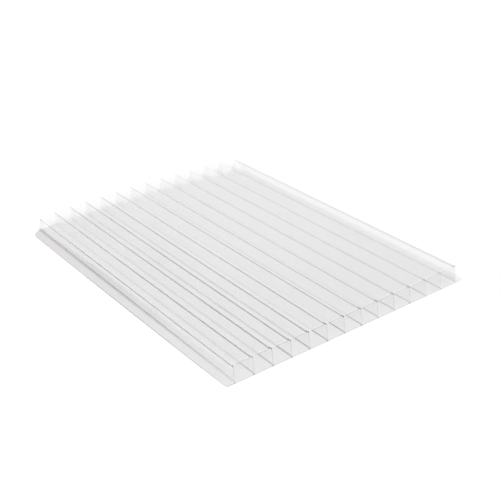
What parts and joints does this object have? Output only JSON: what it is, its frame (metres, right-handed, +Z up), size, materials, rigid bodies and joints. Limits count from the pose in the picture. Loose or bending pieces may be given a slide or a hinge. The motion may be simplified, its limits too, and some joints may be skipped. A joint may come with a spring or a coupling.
{
  "type": "twin-wall plastic sheet",
  "caption": "Clear twin-wall plastic sheet: two thin skins joined by upright webs with open flutes between them, and a narrow lip of lower skin along both sides.",
  "frame": {"origin": "middle of the underside, at the centre of the overall width and length", "axes": "+Z up through the thickness, +Y along the flutes, +X across them"},
  "size_m": [0.1554, 0.216, 0.01],
  "materials": {
    "clear_polycarbonate": "polished"
  },
  "bodies": {
    "root": {"twin_wall_sheet": "clear_polycarbonate"}
  },
  "joints": []
}
